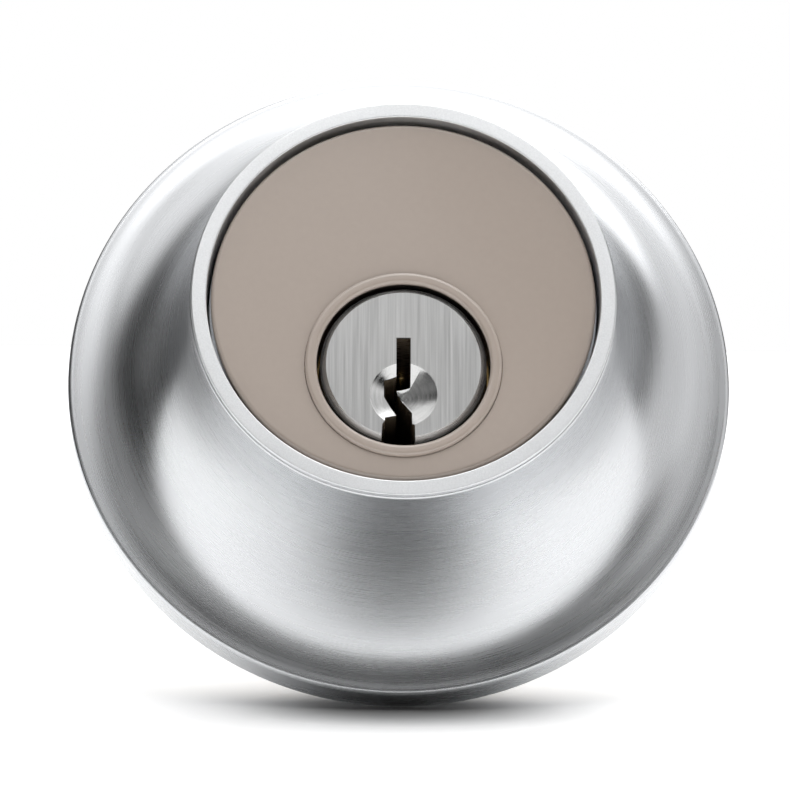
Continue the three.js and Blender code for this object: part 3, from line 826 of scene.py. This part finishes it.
class LOCK_OT_plug(bpy.types.Operator):
    """Makes the keyed plug with its keyway, dimple and chambers, its cap and the tailpiece"""

    bl_idname = "lock.plug"
    bl_label = "Plug and Tailpiece"

    def execute(self, context):
        sizes = context.scene.lock_sizes
        front, rear = -low("plug").y, -high("plug").y
        spigot = rear + sizes.spigot_length
        shoulder = front - sizes.head_depth
        chamfer = sizes.head_chamfer
        z = PLUG_AXIS.z
        blank = turned("keyed_plug", [
            (0, rear),
            (sizes.spigot_radius - 0.2 * MM, rear),
            (sizes.spigot_radius, rear + 0.2 * MM),
            (sizes.spigot_radius, spigot),
            (sizes.plug_radius, spigot),
            (sizes.plug_radius, shoulder),
            (sizes.head_radius, shoulder),
            (sizes.head_radius, front - chamfer),
            (sizes.head_radius - chamfer, front),
            (0, front),
        ], PLUG_AXIS, 144)
        corners = [(x * MM, -rear - 3.2 * MM, z + height * MM) for x, height in KEYWAY]
        keyway = prism("keyway", corners, Vector((0, rear - front + 2.2 * MM, 0)))
        centre = Vector((0, 0, z - sizes.dimple_drop))
        depth = sizes.dimple_radius / math.tan(math.radians(59))
        cone = [(0, front - depth), (2 * sizes.dimple_radius, front + depth), (0, front + depth)]
        dimple = turned("dimple", cone, centre, 96)
        chambers = []
        for i in PINS:
            pin = middle(f"key_pin_{i}")
            bore = width(f"key_pin_{i}") / 2 + sizes.pin_gap
            foot = z - 2.1 * MM
            outline = [(0, foot), (bore, foot + bore), (bore, z + 7 * MM), (0, z + 7 * MM)]
            chambers.append(upright(f"well_{i}", outline, pin.x, pin.y))
        cut(blank, keyway, dimple, *chambers, self.drive_slot(rear))
        deliver(blank, "plug_turning", "plug_nickel", "plug", finish="plug_face")
        self.cap()
        self.tail(rear)
        return {"FINISHED"}

    def drive_slot(self, rear):
        """The recess that the tailpiece's tongue turns in, with its two lugs left standing."""
        z = PLUG_AXIS.z
        end = rear + 2.5 * MM
        recess = rod("drive_slot", 4 * MM, 0, z, rear - MM, end, 96)
        apex, reach = 1.2 * MM, 6 * MM
        lugs = []
        for side in (-1, 1):
            corners = [
                (side * apex, -rear, z),
                (side * (apex + reach), -rear, z - reach),
                (side * (apex + reach), -rear, z + reach),
            ]
            lugs.append(prism(f"lug_{side}", corners, Vector((0, -3.5 * MM, 0))))
        return cut(recess, *lugs)

    def cap(self):
        sizes = bpy.context.scene.lock_sizes
        front, rear = -low("tailpiece_cap").y, -high("tailpiece_cap").y
        outer = width("tailpiece_cap") / 2
        inner = sizes.spigot_radius + 0.05 * MM
        step = rear + 1.2 * MM
        hole = 3.9 * MM
        edge = 0.3 * MM
        cap = turned("plug_cap", [
            (inner, front),
            *rounding(outer - 0.15 * MM, front - 0.15 * MM, 0.15 * MM, 90, 0, 4),
            *rounding(outer - edge, rear + edge, edge, 0, -90, 6),
            *rounding(hole + 0.15 * MM, rear + 0.15 * MM, 0.15 * MM, -90, -180, 4),
            (hole, step),
            (inner, step),
        ], PLUG_AXIS, 120)
        deliver(cap, "plug_turning", "brass", "tailpiece_cap")

    def tail(self, rear):
        z = PLUG_AXIS.z
        front = -low("tailpiece").y
        base_front = rear - 0.05 * MM
        base_rear = base_front - 0.9 * MM
        end = high("tailpiece").y
        radius = width("tailpiece") / 2
        edge = 0.15 * MM
        base = turned("tail", [
            (0, base_rear),
            *rounding(radius - edge, base_rear + edge, edge, -90, 0, 4),
            *rounding(radius - edge, base_front - edge, edge, 0, 90, 4),
            (0, base_front),
        ], PLUG_AXIS, 96)
        tongue = block("tongue", (-0.8 * MM, -front, z - 3.8 * MM), (0.8 * MM, -base_rear - 0.4 * MM, z + 3.8 * MM))
        ease(tongue, 0.12 * MM)
        half = 0.75 * MM
        blade = block("blade", (-half, -base_rear - 0.4 * MM, z - 3.2 * MM), (half, end, z + 3.2 * MM))
        notches = []
        for i in range(1, 5):
            y = end - 4.76 * MM * i
            for side in (-1, 1):
                corners = [
                    (side * 0.5 * MM, y, z - 4 * MM),
                    (side * MM, y - 0.5 * MM, z - 4 * MM),
                    (side * MM, y + 0.5 * MM, z - 4 * MM),
                ]
                notches.append(prism(f"notch_{i}_{side}", corners, Vector((0, 0, 8 * MM))))
        cut(blade, *notches)
        ease(blade, 0.1 * MM)
        join(base, tongue, blade)
        deliver(base, "tail", "zinc_steel", "tailpiece", 35)


class LOCK_OT_pins(bpy.types.Operator):
    """Turns the key pins and driver pins and coils their springs"""

    bl_idname = "lock.pins"
    bl_label = "Pins and Springs"

    def execute(self, context):
        wire = context.scene.lock_sizes.wire
        for i in PINS:
            self.key_pin(i)
            self.driver_pin(i)
            self.spring(i, wire)
        return {"FINISHED"}

    def key_pin(self, i):
        node = f"key_pin_{i}"
        foot, head = low(node).z, high(node).z
        radius = width(node) / 2
        place = middle(node)
        edge = 0.25 * MM
        pin = upright(f"bottom_pin_{i}", [
            (0, foot),
            (0.25 * MM, foot),
            (0.4 * MM, foot + 0.08 * MM),
            (radius - 0.08 * MM, foot + radius - 0.38 * MM),
            (radius, foot + radius - 0.2 * MM),
            (radius, head - edge),
            (radius - 0.08 * MM, head - 0.08 * MM),
            (radius - edge, head),
            (0, head),
        ], place.x, place.y, steps=48)
        deliver(pin, f"key_pin_{i}_body", "brass", node, 40)

    def driver_pin(self, i):
        node = f"driver_pin_{i}"
        foot, head = low(node).z, high(node).z
        radius = width(node) / 2
        place = middle(node)
        edge = 0.2 * MM
        waist = radius - 0.35 * MM
        pin = upright(f"top_pin_{i}", [
            (0, foot),
            (radius - edge, foot),
            (radius, foot + edge),
            (radius, foot + 0.8 * MM),
            (waist, foot + 1.2 * MM),
            (waist, head - 1.2 * MM),
            (radius, head - 0.8 * MM),
            (radius, head - edge),
            (radius - edge, head),
            (0, head),
        ], place.x, place.y, steps=48)
        deliver(pin, f"driver_pin_{i}_body", "plug_nickel", node, 40)

    def spring(self, i, wire):
        node = f"pin_spring_{i}"
        foot = low(node).z + wire / 2
        height = high(node).z - low(node).z - wire
        coil = width(node) / 2 - wire / 2
        place = middle(node)
        bpy.ops.object.select_all(action="DESELECT")
        bpy.ops.mesh.primitive_circle_add(
            vertices=12, radius=wire / 2, location=(place.x, place.y, foot), rotation=(math.pi / 2, 0, 0)
        )
        spring = bpy.context.object
        spring.name = f"coil_{i}"
        bpy.ops.object.transform_apply(location=False, rotation=True, scale=True)
        bpy.ops.object.mode_set(mode="EDIT")
        bpy.ops.mesh.select_all(action="SELECT")
        bpy.ops.transform.translate(value=(coil, 0, 0))
        bpy.ops.object.mode_set(mode="OBJECT")
        turns = 6
        modify(
            spring,
            "SCREW",
            axis="Z",
            angle=2 * math.pi * turns,
            steps=24 * turns,
            render_steps=24 * turns,
            screw_offset=height,
            use_merge_vertices=False,
        )
        bpy.ops.object.transform_apply(location=True, rotation=True, scale=True)
        bpy.ops.object.mode_set(mode="EDIT")
        bpy.ops.mesh.select_all(action="SELECT")
        bpy.ops.mesh.fill_holes(sides=0)
        settle()
        deliver(spring, "root", "spring_steel", node, 60)
        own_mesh(spring)


class LOCK_OT_mounting(bpy.types.Operator):
    """Turns the guard sleeve, centring plate and gasket and cuts the trim screws"""

    bl_idname = "lock.mounting"
    bl_label = "Door Side"

    def execute(self, context):
        sizes = context.scene.lock_sizes
        bore = sizes.ledge_bore
        front, back = -low("guard_sleeve").y, -high("guard_sleeve").y
        outline = ring_outline(bore, high("guard_sleeve").x, back, front, 0.2 * MM)
        sleeve = turned("sleeve", outline, steps=144)
        deliver(sleeve, "root", "hardened_steel", "guard_sleeve", 40)

        front, back = -low("centring_plate").y, -high("centring_plate").y
        seat = -low("trim_screw_1").y - 5.5 * MM
        boss_outer = 26.8 * MM
        boss_inner = 25.2 * MM
        rim = high("centring_plate").x
        plate = turned("plate", [
            *rounding(bore + 0.2 * MM, seat + 0.2 * MM, 0.2 * MM, 180, 270, 4),
            *rounding(boss_inner - 0.4 * MM, seat - 0.4 * MM, 0.4 * MM, 90, 0, 6),
            *rounding(boss_inner + 0.3 * MM, back + 0.3 * MM, 0.3 * MM, 180, 270, 5),
            *rounding(boss_outer - 0.3 * MM, back + 0.3 * MM, 0.3 * MM, -90, 0, 5),
            (boss_outer, seat),
            *rounding(rim - 0.2 * MM, seat + 0.2 * MM, 0.2 * MM, -90, 0, 4),
            *rounding(rim - 0.3 * MM, front - 0.3 * MM, 0.3 * MM, 0, 90, 5),
            *rounding(bore + 0.2 * MM, front - 0.2 * MM, 0.2 * MM, 90, 180, 4),
        ], steps=sizes.turned_steps)
        places = screw_places()
        sinks = [
            turned(f"sink_{i}", self.screw_outline(seat, 0.05 * MM, False), Vector((x, 0, z)), 48)
            for i, (x, z) in enumerate(places)
        ]
        cut(plate, *sinks)
        deliver(plate, "root", "zinc_steel", "centring_plate")

        low_corner, high_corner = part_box("door_gasket")
        outer = high_corner.x
        outline = ring_outline(outer - 2.8 * MM, outer, -high_corner.y, -low_corner.y, 0.12 * MM)
        gasket = turned("gasket", outline, steps=144)
        deliver(gasket, "root", "black_foam", "door_gasket", 40)

        for i, (x, z) in enumerate(places, 1):
            screw = turned(f"screw_{i}", self.screw_outline(seat, 0, True), Vector((x, 0, z)), 48)
            reach, half = 1.42 * MM, 0.3 * MM
            near, far = -seat - 0.6 * MM, -seat + MM
            cut(
                screw,
                block("across", (x - reach, near, z - half), (x + reach, far, z + half)),
                block("down", (x - half, near, z - reach), (x + half, far, z + reach)),
            )
            deliver(screw, "root", "zinc_steel", f"trim_screw_{i}")
        return {"FINISHED"}

    def screw_outline(self, seat, gap, threaded):
        """A countersunk screw's section from its head, level with the seat, to its point."""
        head, shaft = 2.3 * MM + gap, 1.15 * MM + gap
        tip = seat + 5.5 * MM + gap
        neck = seat + head - shaft
        top = seat - gap
        points = [(0, top), (head - 0.1 * MM, top), (head, top + 0.06 * MM + gap), (shaft, neck)]
        if not threaded:
            return [(0, top), (head, top), (shaft, neck), (shaft, tip), (0, tip)]
        pitch, depth = 0.5 * MM, 0.22 * MM
        out = neck + 0.2 * MM
        while out + pitch < tip - 0.3 * MM:
            points += [(shaft, out), (shaft - depth, out + pitch / 2)]
            out += pitch
        return [*points, (shaft, tip - 0.3 * MM), (shaft - 0.3 * MM, tip), (0, tip)]


class LOCK_OT_stage(bpy.types.Operator):
    """Lays the floor and sets the surroundings, the lamps and the camera"""

    bl_idname = "lock.stage"
    bl_label = "Stage"

    def execute(self, context):
        stage = context.scene.lock_stage
        lowest_rim = low("trim_housing").z
        tail_end = Vector((0, high("tailpiece").y, low("tailpiece").z))
        lean = math.atan2(tail_end.z - lowest_rim, tail_end.y)
        self.floor(stage, lowest_rim, lean)
        self.surroundings(context.scene, lean)
        self.camera(context.scene, stage)
        context.scene.view_settings.view_transform = "Standard"
        context.scene.view_settings.look = "None"
        return {"FINISHED"}

    def floor(self, stage, height, lean):
        """A pale plane that the lock's rim and its tailpiece's end both touch."""
        bpy.ops.object.select_all(action="DESELECT")
        bpy.ops.mesh.primitive_circle_add(
            vertices=128,
            radius=stage.floor_radius,
            fill_type="NGON",
            location=(0, 0, height - 0.02 * MM),
            rotation=(lean, 0, 0),
        )
        floor = bpy.context.object
        floor.name = "floor"
        floor.data.materials.append(self.floor_finish(stage))

    def floor_finish(self, stage):
        """Pale paper with a painted contact shadow: darker and without its glow near the lock, brighter away from
        it, and clear when seen from below.
        """
        material, shading = new_finish("floor_paper")
        place = shading.add("ShaderNodeTexCoord").outputs["Object"]
        reach = shading.add("ShaderNodeVectorMath", {0: place}, operation="LENGTH").outputs["Value"]
        # The glow is left out near the lock, which paints a contact shadow there; further out it evens the floor to
        # white.
        glow = shading.ramp(reach, 6 * MM, 26 * MM, 0.0, stage.floor_glow)
        # Painted shadow: the paper's colour darkens from 0.9 to 0.3 close to the lock.
        near = shading.ramp(reach, 2 * MM, 18 * MM)
        paper = shading.noise(place, 400.0, 3.0)
        diffuse = shading.add("ShaderNodeBsdfDiffuse", {
            "Color": shading.blend(near, (0.30, 0.30, 0.30, 1), (0.90, 0.90, 0.90, 1)),
            "Normal": shading.bump(paper, 0.02, 0.05 * MM),
        })
        glowing = shading.add("ShaderNodeEmission", {"Color": (1, 1, 1, 1), "Strength": glow})
        paper_sum = shading.add("ShaderNodeAddShader", {0: diffuse.outputs[0], 1: glowing.outputs[0]})
        below = shading.add("ShaderNodeNewGeometry").outputs["Backfacing"]
        clear = shading.add("ShaderNodeBsdfTransparent")
        mixed = shading.add("ShaderNodeMixShader", {0: below, 1: paper_sum.outputs[0], 2: clear.outputs[0]})
        shading.add("ShaderNodeOutputMaterial", {"Surface": mixed.outputs[0]})
        return material

    def surroundings(self, scene, lean):
        """A dim room whose bright panels light the lock and are mirrored in its steel."""
        world = bpy.data.worlds.new("studio")
        world.use_nodes = True
        scene.world = world
        shading = Shading(world.node_tree)
        ray = shading.add("ShaderNodeTexCoord").outputs["Generated"]
        up = Vector((0, -math.sin(lean), math.cos(lean)))
        front = Vector((0, -math.cos(lean), -math.sin(lean)))
        height = shading.degrees("ARCSINE", shading.dot(ray, up))
        bearing = shading.degrees("ARCTAN2", shading.dot(ray, Vector((1, 0, 0))), shading.dot(ray, front))
        light = 0.01
        for panel in PANELS.values():
            light = shading.maths("ADD", light, panel.shade(shading, bearing, height))
        seen = shading.add("ShaderNodeLightPath").outputs["Is Camera Ray"]
        hidden = shading.maths("MULTIPLY", light, shading.maths("SUBTRACT", 1.0, seen))
        inputs = {"Color": (1, 1, 1, 1), "Strength": shading.maths("ADD", hidden, seen)}
        background = shading.add("ShaderNodeBackground", inputs)
        shading.add("ShaderNodeOutputWorld", {"Surface": background.outputs[0]})

    def camera(self, scene, stage):
        turn_left, drop = -stage.view_turn, -stage.view_drop
        back = Vector((
            math.sin(turn_left) * math.cos(drop),
            -math.cos(turn_left) * math.cos(drop),
            math.sin(drop),
        ))
        right = (-back).cross(Vector((0, 0, 1))).normalized()
        up = right.cross(-back)
        aim = -stage.aim_left * right - stage.aim_down * up
        place = Matrix((right, up, back)).transposed().to_4x4()
        place.translation = aim + stage.view_distance * back
        bpy.ops.object.camera_add()
        camera = bpy.context.object
        camera.name = "camera"
        camera.matrix_world = place
        camera.data.lens = stage.lens
        camera.data.sensor_width = 36
        camera.data.clip_start = 10 * MM
        scene.camera = camera


class Studio:
    """A soft-edged bright panel: its bearing from the front, its heights and its light."""

    def __init__(self, bearing, half, soft, foot, top, blur, light, slant=0.0):
        self.bearing, self.half, self.soft = bearing, half, soft
        self.foot, self.top, self.blur = foot, top, blur
        self.light, self.slant = light, slant

    def shade(self, shading, bearing, height):
        """The panel's light in a direction, given in degrees."""
        lean = shading.maths("MULTIPLY", shading.maths("SUBTRACT", height, self.foot), self.slant)
        centre = shading.maths("SUBTRACT", self.bearing, lean)
        apart = shading.maths("WRAP", shading.maths("SUBTRACT", bearing, centre), 180.0, -180.0)
        aside = shading.maths("ABSOLUTE", apart)
        sides = shading.ramp(aside, self.half - self.soft, self.half, self.light, 0.0)
        rise = shading.ramp(height, self.foot, self.foot + self.blur)
        fall = shading.ramp(height, self.top - self.blur, self.top, 1.0, 0.0)
        return shading.maths("MULTIPLY", sides, shading.maths("MULTIPLY", rise, fall))


PANELS = {
    "ceiling": Studio(bearing=0, half=400, soft=10, foot=44, top=140, blur=14, light=0.2),
    "overhead": Studio(bearing=0, half=400, soft=10, foot=64, top=140, blur=14, light=0.4),
    "back wall": Studio(bearing=180, half=36, soft=36, foot=-30, top=140, blur=10, light=2.5),
    "right wall": Studio(bearing=86, half=35, soft=20, foot=-20, top=140, blur=6, light=0.75),
    "right front": Studio(bearing=44, half=32, soft=21, foot=8, top=140, blur=16, light=0.68),
    "left front": Studio(bearing=-46, half=37, soft=6, foot=30, top=140, blur=17, light=0.55),
    "front high": Studio(bearing=5, half=39, soft=10, foot=50, top=140, blur=8, light=2.8),
    "front low": Studio(bearing=-18, half=42, soft=30, foot=-11, top=32, blur=26, light=0.3),
    "left low": Studio(bearing=-46, half=31, soft=15, foot=-3, top=50, blur=33, light=0.3),
    "left rear": Studio(bearing=-110, half=40, soft=12, foot=35, top=140, blur=11, light=0.95),
    "right rear": Studio(bearing=132, half=34, soft=16, foot=30, top=140, blur=14, light=2.3),
    "low rear": Studio(bearing=-145, half=50, soft=13, foot=0, top=30, blur=15, light=0.15),
    "slanted card": Studio(
        bearing=-17.4, half=30, soft=3, foot=38, top=58, blur=6, light=0.65, slant=0.83
    ),
}


class LOCK_PT_panel(bpy.types.Panel):
    """Builds the lock piece by piece"""

    bl_idname = "LOCK_PT_panel"
    bl_label = "Deadbolt Lock"
    bl_space_type = "VIEW_3D"
    bl_region_type = "UI"
    bl_category = "Lock"

    def draw(self, context):
        layout = self.layout
        for operator in OPERATORS:
            layout.operator(operator.bl_idname)
        for group in (context.scene.lock_sizes, context.scene.lock_finishes, context.scene.lock_stage):
            box = layout.box()
            for name in group.bl_rna.properties.keys():
                if name not in ("rna_type", "name"):
                    box.prop(group, name)


GROUPS = (LockSizes, LockFinishes, LockStage)
OPERATORS = (
    LOCK_OT_finishes,
    LOCK_OT_housing,
    LOCK_OT_face,
    LOCK_OT_cylinder,
    LOCK_OT_plug,
    LOCK_OT_pins,
    LOCK_OT_mounting,
    LOCK_OT_stage,
)


def register():
    for made in (*GROUPS, *OPERATORS, LOCK_PT_panel):
        bpy.utils.register_class(made)
    bpy.types.Scene.lock_sizes = bpy.props.PointerProperty(type=LockSizes)
    bpy.types.Scene.lock_finishes = bpy.props.PointerProperty(type=LockFinishes)
    bpy.types.Scene.lock_stage = bpy.props.PointerProperty(type=LockStage)


def unregister():
    del bpy.types.Scene.lock_stage
    del bpy.types.Scene.lock_finishes
    del bpy.types.Scene.lock_sizes
    for made in reversed((*GROUPS, *OPERATORS, LOCK_PT_panel)):
        bpy.utils.unregister_class(made)


def main():
    register()
    bpy.ops.lock.finishes()
    bpy.ops.lock.housing()
    bpy.ops.lock.face()
    bpy.ops.lock.cylinder()
    bpy.ops.lock.plug()
    bpy.ops.lock.pins()
    bpy.ops.lock.mounting()
    bpy.ops.lock.stage()


if __name__ == "__main__":
    main()
